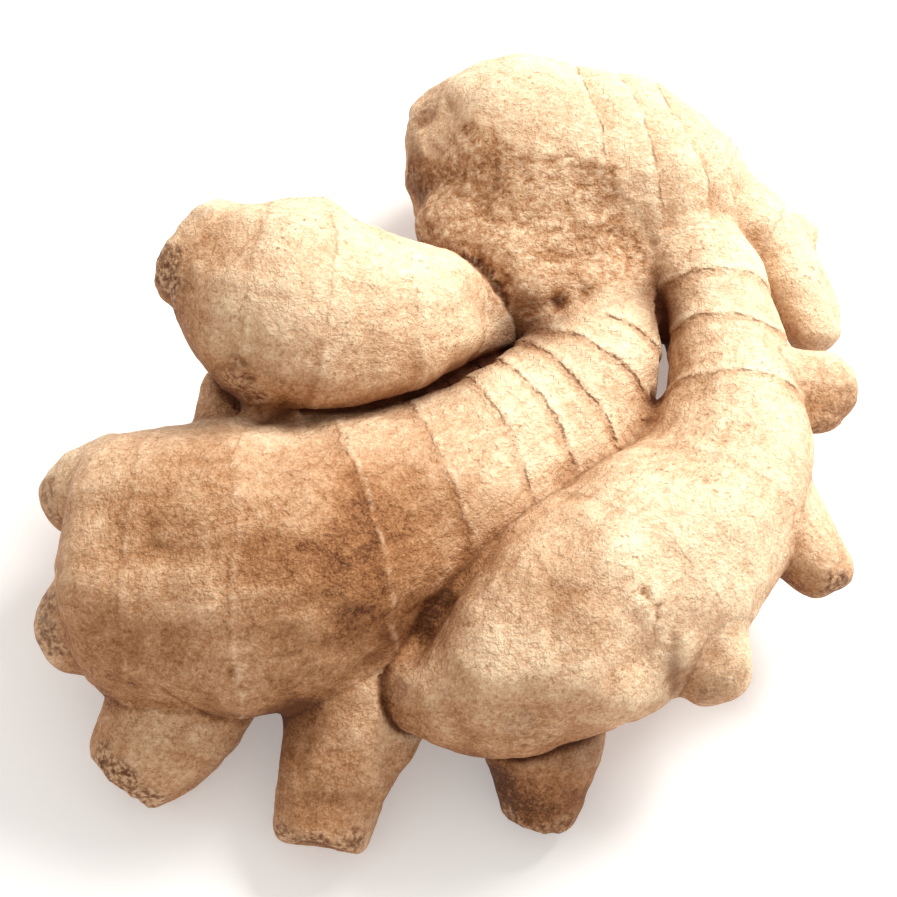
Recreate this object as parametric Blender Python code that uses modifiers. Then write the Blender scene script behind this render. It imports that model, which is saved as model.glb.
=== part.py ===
"""
Ginger root: one hand of fresh ginger lying flat, grown as a single solid.

Frame: metres, +Z up. The front, the side its fingers point to, faces -Y.
The origin is the middle of the box it stands in, at the height it rests on.

How it is shaped
  Every branch of the root is a run of stations along its middle line, each with
  a radius, and is lofted into a closed tube with domed or cut ends. The tubes
  run into each other and are merged into one skin, which is smoothed so that
  the forks get the soft creases of a grown thing. The growth rings are then
  raised across every branch as low steps, the cut ends are dished, and the
  skin is thinned to a light mesh. Last, the underside is trimmed level at the
  few low spots it lies on.
"""
import bmesh
import bpy
import numpy as np

MM = 0.001
NAME = "ginger_root"

# Overall sizes, in millimetres.
SKIN_STEP = 0.9          # spacing of the merged skin before it is thinned
SKIN_TRIANGLES = 10600   # triangles left after thinning
SMOOTH_PASSES = 12       # softness of the creases at the forks
RING_HEIGHT = 0.40       # height of a growth ring above the skin
RING_WIDTH = 1.0         # half width of that ridge along the branch
SHEATH_RISE = 0.35       # swelling of the skin towards the next ring
LUMP_HEIGHT = 0.6        # gentle unevenness of the skin
TUBE_UNEVEN = 0.035      # how far a section strays from round, as a share of its radius
TUBE_SIDES = 28          # corners round a tube
MIDDLE = (0.85, 4.9)     # x, y of the middle of the finished box, moved to the origin

# Branches: (x, y, z, radius) in millimetres, from the join to the tip.
# "squash" scales the height of the sections; "start" and "end" are "dome",
# "blunt" (a low dome) or "cut" (a dished scar).
BRANCHES = {
    "mother knob": dict(
        stations=[(-6.4, 56.3, 22.0, 7.0), (-4.2, 56.0, 21.8, 10.0), (-1.6, 55.7, 21.2, 13.6),
                  (2.8, 54.9, 20.5, 16.8), (9.5, 53.4, 19.8, 19.3), (20.0, 50.4, 19.6, 20.4),
                  (32.0, 48.6, 18.8, 19.1), (41.5, 47.4, 17.5, 14.9), (48.5, 45.5, 16.0, 8.3)],
        squash=1.0, start="cut", end="dome"),
    "knob belly": dict(
        stations=[(20.0, 47.0, 20.5, 21.3), (18.8, 40.0, 20.6, 20.1), (19.4, 33.5, 20.8, 17.2),
                  (20.8, 28.5, 21.0, 13.2)],
        squash=0.86, start="dome", end="dome"),
    "knob nub": dict(
        stations=[(7.0, 43.0, 21.5, 12.5), (9.5, 36.5, 24.0, 10.4), (11.8, 31.0, 26.5, 8.3),
                  (13.6, 27.0, 27.0, 6.2)],
        squash=1.0, start="dome", end="dome"),
    "middle finger": dict(
        stations=[(28.0, 38.0, 20.5, 10.0), (25.0, 21.5, 21.5, 10.0), (19.5, 8.0, 22.0, 12.7),
                  (6.0, -4.0, 22.5, 16.0), (-10.0, -13.3, 23.0, 19.8), (-27.0, -20.0, 23.6, 24.6),
                  (-44.0, -20.7, 23.0, 22.8), (-53.0, -20.7, 22.4, 20.4)],
        squash=0.87, start="dome", end="blunt"),
    "right finger": dict(
        stations=[(30.5, 47.5, 19.5, 15.8), (35.5, 40.0, 19.8, 12.9), (40.6, 32.0, 20.2, 10.7),
                  (45.0, 21.5, 21.3, 9.7), (46.1, 12.5, 21.9, 10.2), (45.8, 5.5, 22.5, 12.0),
                  (42.0, -8.5, 24.0, 14.8), (31.0, -22.0, 25.5, 17.8), (18.5, -32.0, 25.2, 18.0),
                  (8.0, -38.2, 24.2, 14.4), (-0.5, -41.3, 23.2, 9.6), (-4.5, -41.6, 22.8, 6.0)],
        squash=0.95, start="dome", end="dome"),
    "left finger": dict(
        stations=[(5.5, 23.8, 20.0, 8.2), (0.8, 21.9, 26.2, 9.2), (-3.6, 20.0, 31.0, 11.2),
                  (-8.5, 18.2, 34.0, 13.2), (-16.5, 16.5, 37.0, 15.8), (-24.5, 17.2, 39.0, 17.7),
                  (-29.5, 19.4, 39.3, 16.4), (-33.8, 21.8, 39.5, 13.4), (-38.0, 24.6, 39.5, 10.1),
                  (-40.8, 26.4, 39.5, 9.3)],
        squash=0.97, start="dome", end="cut"),
    "left finger eye": dict(
        stations=[(-25.0, 11.0, 38.0, 11.0), (-28.5, 5.5, 39.5, 8.2), (-30.5, 2.0, 40.0, 5.4)],
        squash=1.0, start="dome", end="blunt"),
    "top bud": dict(
        stations=[(-34.5, -4.0, 22.0, 8.0), (-35.5, 4.0, 26.5, 5.4), (-36.5, 10.5, 26.5, 4.0)],
        squash=1.0, start="dome", end="dome"),
    "left bud": dict(
        stations=[(-53.0, -7.5, 20.5, 9.8), (-59.2, -8.2, 20.3, 7.3), (-62.8, -9.8, 19.8, 4.8)],
        squash=1.0, start="dome", end="blunt"),
    "lower left bud": dict(
        stations=[(-52.0, -25.0, 18.5, 11.5), (-59.0, -28.5, 17.5, 8.2), (-62.0, -29.5, 17.0, 6.2)],
        squash=1.0, start="dome", end="blunt"),
    "front left stub": dict(
        stations=[(-36.0, -31.0, 17.0, 11.5), (-42.0, -39.3, 11.8, 10.8), (-47.0, -45.0, 8.0, 9.2),
                  (-51.3, -49.5, 5.6, 7.2)],
        squash=1.0, start="dome", end="cut"),
    "front stub": dict(
        stations=[(-12.5, -28.0, 18.0, 12.0), (-14.5, -38.5, 14.0, 11.6), (-16.0, -46.5, 10.6, 10.2),
                  (-18.8, -54.5, 8.0, 8.4), (-20.0, -60.0, 6.6, 6.6)],
        squash=1.0, start="dome", end="cut"),
    "under stub": dict(
        stations=[(16.0, -36.0, 15.5, 10.0), (15.0, -45.0, 10.6, 9.2), (14.3, -51.5, 6.8, 7.4),
                  (13.6, -55.8, 3.9, 5.6)],
        squash=1.0, start="dome", end="cut"),
    "lobe stub": dict(
        stations=[(31.0, -22.5, 26.5, 13.4), (35.8, -30.0, 25.8, 10.2), (38.9, -35.4, 24.2, 7.7),
                  (40.5, -39.4, 22.6, 6.0), (41.2, -41.4, 21.8, 4.9)],
        squash=1.0, start="dome", end="blunt"),
    "lower right bud": dict(
        stations=[(47.5, -7.5, 22.0, 9.5), (54.5, -14.0, 20.5, 7.4), (59.0, -20.0, 19.0, 5.9),
                  (60.7, -22.5, 18.5, 4.8)],
        squash=1.0, start="dome", end="blunt"),
    "right bud": dict(
        stations=[(51.0, 11.5, 22.0, 7.5), (57.0, 11.5, 21.0, 6.0), (61.0, 11.5, 20.5, 6.2),
                  (63.5, 11.0, 20.0, 5.2)],
        squash=1.0, start="dome", end="dome"),
    "right bud scar": dict(
        stations=[(60.3, 8.8, 20.5, 4.6), (60.0, 5.7, 19.5, 4.0)],
        squash=1.0, start="dome", end="blunt"),
    "side finger": dict(
        stations=[(43.0, 49.0, 18.0, 8.5), (51.0, 45.0, 16.0, 6.4), (56.3, 38.5, 15.0, 5.8),
                  (60.3, 31.8, 14.0, 6.0), (62.0, 25.5, 13.5, 4.6)],
        squash=1.0, start="dome", end="dome"),
    "side finger knuckle": dict(
        stations=[(47.0, 47.0, 17.0, 6.5), (53.0, 47.0, 16.5, 4.6)],
        squash=1.0, start="dome", end="dome"),
    "side finger nub": dict(
        stations=[(58.5, 38.0, 15.0, 3.6), (60.3, 44.0, 16.0, 2.9)],
        squash=1.0, start="dome", end="dome"),
}

# Growth rings: branch, distance along it in millimetres, turn about the
# vertical in degrees (anticlockwise seen from above), height.
RINGS = [
    ("mother knob", 30.5, 20.0, 0.8),
    ("mother knob", 37.5, 23.0, 0.9),
    ("mother knob", 44.5, 28.0, 1.0),
    ("mother knob", 51.5, 35.0, 0.9),
    ("middle finger", 9.5, -12.0, 0.8),
    ("middle finger", 18.5, -4.0, 0.9),
    ("middle finger", 25.0, -9.0, 1.0),
    ("middle finger", 32.0, -13.0, 1.0),
    ("middle finger", 39.0, -10.0, 1.0),
    ("middle finger", 47.0, -9.0, 1.0),
    ("middle finger", 58.5, -7.0, 1.0),
    ("middle finger", 73.0, -9.0, 1.1),
    ("middle finger", 90.5, -7.0, 1.0),
    ("middle finger", 106.5, -5.0, 1.0),
    ("right finger", 15.0, -15.0, 0.8),
    ("right finger", 23.5, -15.0, 0.9),
    ("right finger", 32.0, -13.0, 1.0),
    ("right finger", 43.5, 0.0, 1.0),
    ("right finger", 61.5, 8.0, 0.8),
    ("right finger", 79.5, 7.0, 0.8),
    ("right finger", 95.0, -2.0, 0.9),
    ("left finger", 10.0, 0.0, 0.6),
    ("left finger", 22.5, 3.0, 0.5),
    ("left finger", 34.5, 6.0, 0.3),
    ("left finger", 42.5, 19.0, 0.3),
    ("front left stub", 16.0, 10.0, 0.9),
    ("front stub", 20.0, 20.0, 1.0),
    ("front stub", 28.0, 14.0, 0.7),
    ("under stub", 14.0, 6.0, 0.8),
    ("side finger", 14.5, -6.0, 0.7),
    ("side finger", 21.5, -12.0, 0.6),
    ("lower right bud", 10.0, 7.0, 0.8),
    ("right bud", 7.0, 5.0, 0.9),
    ("lobe stub", 11.5, 8.0, 0.8),
]


def clear_scene():
    """Take the starting objects out of the scene."""
    for old in list(bpy.data.objects):
        bpy.data.objects.remove(old, do_unlink=True)


def unit(rows):
    """Rows scaled to length one."""
    return rows / np.maximum(np.linalg.norm(rows, axis=-1, keepdims=True), 1e-9)


def middle_line(stations, step):
    """A smooth curve through the stations, one row of x, y, z, radius about every step."""
    rows = np.array(stations, float)
    rows = np.vstack([2 * rows[0] - rows[1], rows, 2 * rows[-1] - rows[-2]])
    pieces = []
    for a, b, c, d in zip(rows[:-3], rows[1:-2], rows[2:-1], rows[3:]):
        count = max(2, int(np.linalg.norm(c[:3] - b[:3]) / step))
        t = (np.arange(count) / count)[:, None]
        pieces.append(0.5 * (2 * b + (c - a) * t + (2 * a - 5 * b + 4 * c - d) * t ** 2
                             + (3 * b - a - 3 * c + d) * t ** 3))
    pieces.append(rows[-2:-1])
    line = np.vstack(pieces)
    line[:, 3] = np.maximum(line[:, 3], 0.5)
    return line


def frame_along(line):
    """Forward, right-hand and upward directions at every point of a middle line."""
    forward = unit(np.gradient(line[:, :3], axis=0))
    right = unit(np.cross(forward, [0.0, 0.0, 1.0]))
    upward = np.cross(right, forward)
    return forward, right, upward


def end_sections(centre, outward, radius, style):
    """Sections that close a tube: a dome, a low dome, or a cut face with a shallow dish."""
    if style in ("dome", "blunt"):
        reach = 0.75 if style == "dome" else 0.36
        turns = np.radians([24.0, 46.0, 66.0, 80.0])
        return [(centre + outward * radius * reach * np.sin(a), radius * np.cos(a)) for a in turns]
    return [(centre + outward * 0.12 * radius, radius * 0.93),
            (centre + outward * 0.08 * radius, radius * 0.74),
            (centre - outward * 0.06 * radius, radius * 0.45)]


def tube(shell, branch):
    """Loft one branch as a closed tube into the shell."""
    line = middle_line(branch["stations"], 1.6)
    forward, right, upward = frame_along(line)
    sections = [(line[i, :3], line[i, 3], right[i], upward[i]) for i in range(len(line))]
    for centre, radius in end_sections(line[0, :3], -forward[0], line[0, 3], branch["start"]):
        sections.insert(0, (centre, radius, right[0], upward[0]))
    for centre, radius in end_sections(line[-1, :3], forward[-1], line[-1, 3], branch["end"]):
        sections.append((centre, radius, right[-1], upward[-1]))
    turn = np.arange(TUBE_SIDES) * 2 * np.pi / TUBE_SIDES
    start = line[0, 0] + line[0, 1]
    rings = []
    for at, (centre, radius, side, top) in enumerate(sections):
        uneven = 1.0 + TUBE_UNEVEN * (np.cos(2 * turn + start + at / 9.0) * 0.6
                                      + np.cos(3 * turn + 2 * start - at / 7.0) * 0.4)
        across = np.outer(np.cos(turn), side) + np.outer(np.sin(turn), top) * branch["squash"]
        points = (centre + radius * uneven[:, None] * across) * MM
        rings.append([shell.verts.new(point) for point in points])
    for low, high in zip(rings[:-1], rings[1:]):
        for k in range(TUBE_SIDES):
            n = (k + 1) % TUBE_SIDES
            shell.faces.new((low[k], high[k], high[n], low[n]))
    shell.faces.new(rings[0])
    shell.faces.new(list(reversed(rings[-1])))


def evaluated_mesh(thing, name):
    """The mesh of an object with its modifiers worked out."""
    bpy.context.view_layer.update()
    graph = bpy.context.evaluated_depsgraph_get()
    return bpy.data.meshes.new_from_object(thing.evaluated_get(graph), depsgraph=graph).copy()


def merged_skin(collection):
    """All branches lofted and merged into one smooth skin, as a mesh."""
    shell = bmesh.new()
    for branch in BRANCHES.values():
        tube(shell, branch)
    bmesh.ops.recalc_face_normals(shell, faces=shell.faces)
    mesh = bpy.data.meshes.new("branches")
    shell.to_mesh(mesh)
    shell.free()
    rough = bpy.data.objects.new("branches", mesh)
    collection.objects.link(rough)
    merge = rough.modifiers.new("merge", "REMESH")
    merge.mode = "VOXEL"
    merge.voxel_size = SKIN_STEP * MM
    merge.adaptivity = 0.0
    soften = rough.modifiers.new("soften", "SMOOTH")
    soften.factor = 0.5
    soften.iterations = SMOOTH_PASSES
    skin = evaluated_mesh(rough, "skin")
    bpy.data.objects.remove(rough, do_unlink=True)
    return skin


def nearest_branch(points):
    """For every point: the branch it belongs to and how clearly it belongs there."""
    gaps = []
    for branch in BRANCHES.values():
        line = middle_line(branch["stations"], 0.8)
        best = np.full(len(points), 1e9)
        for row in line:
            away = np.linalg.norm(points - row[:3], axis=1) - row[3]
            best = np.minimum(best, away)
        gaps.append(best)
    gaps = np.array(gaps)
    order = np.sort(gaps, axis=0)
    return np.argmin(gaps, axis=0), order[1] - order[0]


def ring_relief(points):
    """Height added to the skin by the growth rings, in millimetres."""
    owner, lead = nearest_branch(points)
    names = list(BRANCHES)
    clear = np.clip((lead + 0.6) / 2.4, 0.0, 1.0)
    relief = np.zeros(len(points))
    for name, distance, turn, height in RINGS:
        line = middle_line(BRANCHES[name]["stations"], 0.5)
        steps = np.linalg.norm(np.diff(line[:, :3], axis=0), axis=1)
        along = np.concatenate([[0.0], np.cumsum(steps)])
        at = int(np.argmin(np.abs(along - distance)))
        forward = frame_along(line)[0][at]
        angle = np.radians(turn)
        facing = np.array([forward[0] * np.cos(angle) - forward[1] * np.sin(angle),
                           forward[0] * np.sin(angle) + forward[1] * np.cos(angle), forward[2]])
        offset = points - line[at, :3]
        past = offset @ facing
        near = np.linalg.norm(offset, axis=1) < 1.5 * line[at, 3] + 2.0
        mine = (owner == names.index(name)) & near
        ridge = np.exp(-(past / RING_WIDTH) ** 2)
        dip = np.exp(-((past - 1.9 * RING_WIDTH) / RING_WIDTH) ** 2)
        swell = np.where(past < 0, np.exp(past / 6.0), 0.0)
        shape = RING_HEIGHT * (ridge - 0.55 * dip) + SHEATH_RISE * swell
        relief += np.where(mine, shape * height * clear, 0.0)
    return relief


def lump_relief(points):
    """Gentle unevenness: a few crossing waves of 14 to 30 millimetres."""
    pick = np.random.default_rng(11)
    total = np.zeros(len(points))
    for _ in range(9):
        direction = unit(pick.normal(size=3))
        wave = pick.uniform(14.0, 30.0)
        phase = pick.uniform(0.0, 2 * np.pi)
        total += np.sin(points @ direction * 2 * np.pi / wave + phase)
    return total / 3.0 * LUMP_HEIGHT


def shaped_skin(mesh):
    """Raise the rings and lumps of the skin along its normals."""
    count = len(mesh.vertices)
    flat = np.empty(count * 3)
    mesh.vertices.foreach_get("co", flat)
    points = flat.reshape(-1, 3) / MM
    normals = np.empty(count * 3)
    mesh.vertices.foreach_get("normal", normals)
    normals = normals.reshape(-1, 3)
    relief = ring_relief(points) + lump_relief(points)
    points = points + normals * relief[:, None] - np.array([*MIDDLE, 0.0])
    mesh.vertices.foreach_set("co", (points * MM).ravel())
    mesh.update()
    return mesh


def skin_material():
    """Thin dry skin of fresh ginger."""
    skin = bpy.data.materials.new("ginger skin")
    skin.use_nodes = True
    shader = skin.node_tree.nodes["Principled BSDF"]
    shader.inputs["Base Color"].default_value = (0.78, 0.55, 0.34, 1.0)
    shader.inputs["Roughness"].default_value = 0.72
    shader.inputs["Metallic"].default_value = 0.0
    return skin


def build():
    """The whole root as one closed object, trimmed level underneath."""
    clear_scene()
    parts = bpy.data.collections.new("ginger root")
    tools = bpy.data.collections.new("trimming")
    bpy.context.scene.collection.children.link(parts)
    bpy.context.scene.collection.children.link(tools)
    mesh = shaped_skin(merged_skin(parts))
    mesh.name = NAME
    root = bpy.data.objects.new(NAME, mesh)
    parts.objects.link(root)
    root.data.materials.append(skin_material())

    quads = sum(len(face.vertices) - 2 for face in mesh.polygons)
    thin = root.modifiers.new("thin the skin", "DECIMATE")
    thin.decimate_type = "COLLAPSE"
    thin.ratio = SKIN_TRIANGLES / quads
    thin.use_collapse_triangulate = True

    box = bmesh.new()
    bmesh.ops.create_cube(box, size=1.0)
    for corner in box.verts:
        corner.co = (corner.co.x * 0.3, corner.co.y * 0.3, corner.co.z * 0.04 - 0.02)
    block_mesh = bpy.data.meshes.new("ground block")
    box.to_mesh(block_mesh)
    box.free()
    block = bpy.data.objects.new("ground block", block_mesh)
    block.hide_render = True
    block.display_type = "WIRE"
    tools.objects.link(block)
    trim = root.modifiers.new("level the underside", "BOOLEAN")
    trim.operation = "DIFFERENCE"
    trim.solver = "EXACT"
    trim.object = block
    return root


build()
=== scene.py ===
# %% [markdown]
# A hand of fresh ginger, lying flat on a pale table.
# The packed model is the frame: one solid root, already the right size and shape.
# This lesson puts a finer skin over it. The skin follows the same branches, and then
# gets what a light solid cannot hold: growth rings, wrinkles, corky scars and colour.
# We start by loading the frame and noting the box it fills.

# %% Load the frame
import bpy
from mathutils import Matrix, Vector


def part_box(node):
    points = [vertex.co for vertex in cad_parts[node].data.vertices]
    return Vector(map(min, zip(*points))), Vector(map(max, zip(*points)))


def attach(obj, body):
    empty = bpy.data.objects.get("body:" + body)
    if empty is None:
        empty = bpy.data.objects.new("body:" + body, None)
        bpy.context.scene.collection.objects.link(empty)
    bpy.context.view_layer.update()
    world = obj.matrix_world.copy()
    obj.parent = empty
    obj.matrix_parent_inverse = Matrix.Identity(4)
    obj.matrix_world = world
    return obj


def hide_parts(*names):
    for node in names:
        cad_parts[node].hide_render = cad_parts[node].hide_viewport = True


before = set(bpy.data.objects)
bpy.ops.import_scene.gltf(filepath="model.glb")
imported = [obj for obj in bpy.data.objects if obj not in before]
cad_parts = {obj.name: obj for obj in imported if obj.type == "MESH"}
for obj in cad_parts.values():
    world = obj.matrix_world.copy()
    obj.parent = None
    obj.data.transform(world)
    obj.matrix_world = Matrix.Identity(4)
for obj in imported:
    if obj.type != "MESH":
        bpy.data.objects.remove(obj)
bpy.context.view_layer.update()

import math

import bpy
import numpy as np

MM = 0.001
low, high = (np.array(corner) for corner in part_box("ginger_root"))
print("solid root, mm:", np.round((high - low) / MM, 1))

# %% [markdown]
# The camera looks down at about 65 degrees, as a cook looks at a worktop.
# A long lens from a little way off keeps the near stubs from looking too big.
# It is aimed at a point inside the root, so the angle and the aim are the only choices.

# %% Camera
CAMERA_ANGLE = math.radians(65.0)
CAMERA_REACH = 400.0 * MM
CAMERA_LENS = 100.0
FILM_WIDTH = 36.0
AIM = np.array([-0.85, -4.9, 22.0]) * MM


def place_camera():
    """A camera on the front side, at the reach along the line of sight from the aim."""
    data = bpy.data.cameras.new("camera")
    data.lens = CAMERA_LENS
    data.sensor_width = FILM_WIDTH
    camera = bpy.data.objects.new("camera", data)
    away = np.array([0.0, -math.cos(CAMERA_ANGLE), math.sin(CAMERA_ANGLE)])
    camera.location = AIM + CAMERA_REACH * away
    camera.rotation_euler = (math.pi / 2 - CAMERA_ANGLE, 0.0, 0.0)
    bpy.context.scene.collection.objects.link(camera)
    bpy.context.scene.camera = camera


place_camera()
print("camera reach, mm:", CAMERA_REACH / MM, "lens:", CAMERA_LENS)

# %% [markdown]
# A ginger root is a rhizome: a thick mother knob that sends out fingers, which send
# out stubs and buds. Each branch here is a short list of stations along its middle
# line: x, y, z and radius in millimetres. They are the solid's own values, so the
# skin lands on it with no fitting. The last three values are how flat the branch is
# and how its two ends close. The middle is where the standing box of the root has its
# centre in these numbers, and it is taken off at the end.

# %% Branches of the root
MIDDLE = np.array([0.85, 4.9, 0.0])
BRANCHES = {
    "mother knob": (
        [(-6.4, 56.3, 22, 7), (-4.2, 56, 21.8, 10), (-1.6, 55.7, 21.2, 13.6),
         (2.8, 54.9, 20.5, 16.8), (9.5, 53.4, 19.8, 19.3), (20, 50.4, 19.6, 20.4),
         (32, 48.6, 18.8, 19.1), (41.5, 47.4, 17.5, 14.9),
         (48.5, 45.5, 16, 8.3)], 1, "cut", "dome"),
    "knob belly": (
        [(20, 47, 20.5, 21.3), (18.8, 40, 20.6, 20.1), (19.4, 33.5, 20.8, 17.2),
         (20.8, 28.5, 21, 13.2)], 0.86, "dome", "dome"),
    "knob nub": (
        [(7, 43, 21.5, 12.5), (9.5, 36.5, 24, 10.4), (11.8, 31, 26.5, 8.3),
         (13.6, 27, 27, 6.2)], 1, "dome", "dome"),
    "middle finger": (
        [(28, 38, 20.5, 10), (25, 21.5, 21.5, 10), (19.5, 8, 22, 12.7),
         (6, -4, 22.5, 16), (-10, -13.3, 23, 19.8), (-27, -20, 23.6, 24.6),
         (-44, -20.7, 23, 22.8), (-53, -20.7, 22.4, 20.4)], 0.87, "dome", "blunt"),
    "right finger": (
        [(30.5, 47.5, 19.5, 15.8), (35.5, 40, 19.8, 12.9), (40.6, 32, 20.2, 10.7),
         (45, 21.5, 21.3, 9.7), (46.1, 12.5, 21.9, 10.2), (45.8, 5.5, 22.5, 12),
         (42, -8.5, 24, 14.8), (31, -22, 25.5, 17.8), (18.5, -32, 25.2, 18),
         (8, -38.2, 24.2, 14.4), (-0.5, -41.3, 23.2, 9.6),
         (-4.5, -41.6, 22.8, 6)], 0.95, "dome", "dome"),
    "left finger": (
        [(5.5, 23.8, 20, 8.2), (0.8, 21.9, 26.2, 9.2), (-3.6, 20, 31, 11.2),
         (-8.5, 18.2, 34, 13.2), (-16.5, 16.5, 37, 15.8), (-24.5, 17.2, 39, 17.7),
         (-29.5, 19.4, 39.3, 16.4), (-33.8, 21.8, 39.5, 13.4), (-38, 24.6, 39.5, 10.1),
         (-40.8, 26.4, 39.5, 9.3)], 0.97, "dome", "cut"),
    "left finger eye": (
        [(-25, 11, 38, 11), (-28.5, 5.5, 39.5, 8.2),
         (-30.5, 2, 40, 5.4)], 1, "dome", "blunt"),
    "top bud": (
        [(-34.5, -4, 22, 8), (-35.5, 4, 26.5, 5.4),
         (-36.5, 10.5, 26.5, 4)], 1, "dome", "dome"),
    "left bud": (
        [(-53, -7.5, 20.5, 9.8), (-59.2, -8.2, 20.3, 7.3),
         (-62.8, -9.8, 19.8, 4.8)], 1, "dome", "blunt"),
    "lower left bud": (
        [(-52, -25, 18.5, 11.5), (-59, -28.5, 17.5, 8.2),
         (-62, -29.5, 17, 6.2)], 1, "dome", "blunt"),
    "front left stub": (
        [(-36, -31, 17, 11.5), (-42, -39.3, 11.8, 10.8), (-47, -45, 8, 9.2),
         (-51.3, -49.5, 5.6, 7.2)], 1, "dome", "cut"),
    "front stub": (
        [(-12.5, -28, 18, 12), (-14.5, -38.5, 14, 11.6), (-16, -46.5, 10.6, 10.2),
         (-18.8, -54.5, 8, 8.4), (-20, -60, 6.6, 6.6)], 1, "dome", "cut"),
    "under stub": (
        [(16, -36, 15.5, 10), (15, -45, 10.6, 9.2), (14.3, -51.5, 6.8, 7.4),
         (13.6, -55.8, 3.9, 5.6)], 1, "dome", "cut"),
    "lobe stub": (
        [(31, -22.5, 26.5, 13.4), (35.8, -30, 25.8, 10.2), (38.9, -35.4, 24.2, 7.7),
         (40.5, -39.4, 22.6, 6), (41.2, -41.4, 21.8, 4.9)], 1, "dome", "blunt"),
    "lower right bud": (
        [(47.5, -7.5, 22, 9.5), (54.5, -14, 20.5, 7.4), (59, -20, 19, 5.9),
         (60.7, -22.5, 18.5, 4.8)], 1, "dome", "blunt"),
    "right bud": (
        [(51, 11.5, 22, 7.5), (57, 11.5, 21, 6), (61, 11.5, 20.5, 6.2),
         (63.5, 11, 20, 5.2)], 1, "dome", "dome"),
    "right bud scar": (
        [(60.3, 8.8, 20.5, 4.6), (60, 5.7, 19.5, 4)], 1, "dome", "blunt"),
    "side finger": (
        [(43, 49, 18, 8.5), (51, 45, 16, 6.4), (56.3, 38.5, 15, 5.8),
         (60.3, 31.8, 14, 6), (62, 25.5, 13.5, 4.6)], 1, "dome", "dome"),
    "side finger knuckle": (
        [(47, 47, 17, 6.5), (53, 47, 16.5, 4.6)], 1, "dome", "dome"),
    "side finger nub": (
        [(58.5, 38, 15, 3.6), (60.3, 44, 16, 2.9)], 1, "dome", "dome"),
}
NAMES = list(BRANCHES)
print("branches:", len(NAMES), "stations:", sum(len(row[0]) for row in BRANCHES.values()))

# %% [markdown]
# A few stations become a smooth curve with the Catmull-Rom rule, which passes through
# every station and never kinks. A Blender curve could do the same, but as arrays the
# curve can also be measured later, when rings and wrinkles ask how far along they are.

# %% Middle lines
LEAST_RADIUS = 0.5


def unit(rows):
    """Each row divided by its own length."""
    return rows / np.maximum(np.linalg.norm(rows, axis=-1, keepdims=True), 1e-9)


def middle_line(name, step):
    """Catmull-Rom curve through a branch's stations: for a share t between stations b and c
    it is half of 2b + (c - a)t + (2a - 5b + 4c - d)t squared + (3b - a - 3c + d)t cubed."""
    rows = np.array(BRANCHES[name][0], float)
    rows = np.vstack([2 * rows[0] - rows[1], rows, 2 * rows[-1] - rows[-2]])
    pieces = []
    for a, b, c, d in zip(rows[:-3], rows[1:-2], rows[2:-1], rows[3:]):
        count = max(2, int(np.linalg.norm(c[:3] - b[:3]) / step))
        t = (np.arange(count) / count)[:, None]
        pieces.append(0.5 * (2 * b + (c - a) * t + (2 * a - 5 * b + 4 * c - d) * t ** 2
                             + (3 * b - a - 3 * c + d) * t ** 3))
    pieces.append(rows[-2:-1])
    line = np.vstack(pieces)
    line[:, 3] = np.maximum(line[:, 3], LEAST_RADIUS)
    return line


def frame_along(line):
    """Forward is the curve's slope, right is forward crossed with up, and upward closes it."""
    forward = unit(np.gradient(line[:, :3], axis=0))
    right = unit(np.cross(forward, [0.0, 0.0, 1.0]))
    return forward, right, np.cross(right, forward)


def length_along(line):
    """Running sum of the distances between neighbouring points."""
    steps = np.linalg.norm(np.diff(line[:, :3], axis=0), axis=1)
    return np.concatenate([[0.0], np.cumsum(steps)])


print("longest branch, mm:", round(max(length_along(middle_line(n, 1.0))[-1] for n in NAMES), 1))

# %% [markdown]
# Each branch is now a tube: a slightly uneven round section carried along its middle
# line. The whole tube is one grid of points, stations one way and the turn about the
# line the other way, so the faces are the grid's squares and two end caps.

# %% Tubes
SIDES = 48
TUBE_STEP = 1.6
TUBE_UNEVEN = 0.035
CUT_REACH = np.array([0.12, 0.08, -0.06])
CUT_SHRINK = np.array([0.93, 0.74, 0.45])
ROUND_TURNS = np.radians([24.0, 46.0, 66.0, 80.0])
ROUND_REACH = {"dome": 0.75, "blunt": 0.36}


def end_run(centre, outward, radius, style):
    """Sections past an end. A dome, or a blunter one, shrinks as a cosine while it moves
    out as a sine; a cut face steps in nearly flat, with a shallow dish."""
    if style == "cut":
        reach, shrink = CUT_REACH, CUT_SHRINK
    else:
        reach, shrink = ROUND_REACH[style] * np.sin(ROUND_TURNS), np.cos(ROUND_TURNS)
    return centre + outward * (radius * reach)[:, None], radius * shrink


def tube_grid(name):
    """Point on a tube = centre + radius x unevenness x (cosine of the turn x right
    + sine of the turn x flatness x upward), for every section and every turn."""
    _, flatness, start_style, end_style = BRANCHES[name]
    line = middle_line(name, TUBE_STEP)
    forward, right, upward = frame_along(line)
    first, first_r = end_run(line[0, :3], -forward[0], line[0, 3], start_style)
    last, last_r = end_run(line[-1, :3], forward[-1], line[-1, 3], end_style)
    centres = np.vstack([first[::-1], line[:, :3], last])
    radii = np.concatenate([first_r[::-1], line[:, 3], last_r])
    ahead, behind = len(first), len(last)
    right = np.vstack([np.repeat(right[:1], ahead, 0), right, np.repeat(right[-1:], behind, 0)])
    upward = np.vstack([np.repeat(upward[:1], ahead, 0), upward,
                        np.repeat(upward[-1:], behind, 0)])
    turn = np.arange(SIDES) * 2 * np.pi / SIDES
    at = np.arange(len(centres))[:, None]
    start = line[0, 0] + line[0, 1]
    uneven = 1.0 + TUBE_UNEVEN * (0.6 * np.cos(2 * turn + start + at / 9.0)
                                  + 0.4 * np.cos(3 * turn + 2 * start - at / 7.0))
    across = (np.cos(turn)[None, :, None] * right[:, None, :]
              + np.sin(turn)[None, :, None] * upward[:, None, :] * flatness)
    return centres[:, None, :] + (radii[:, None] * uneven)[..., None] * across


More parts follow.
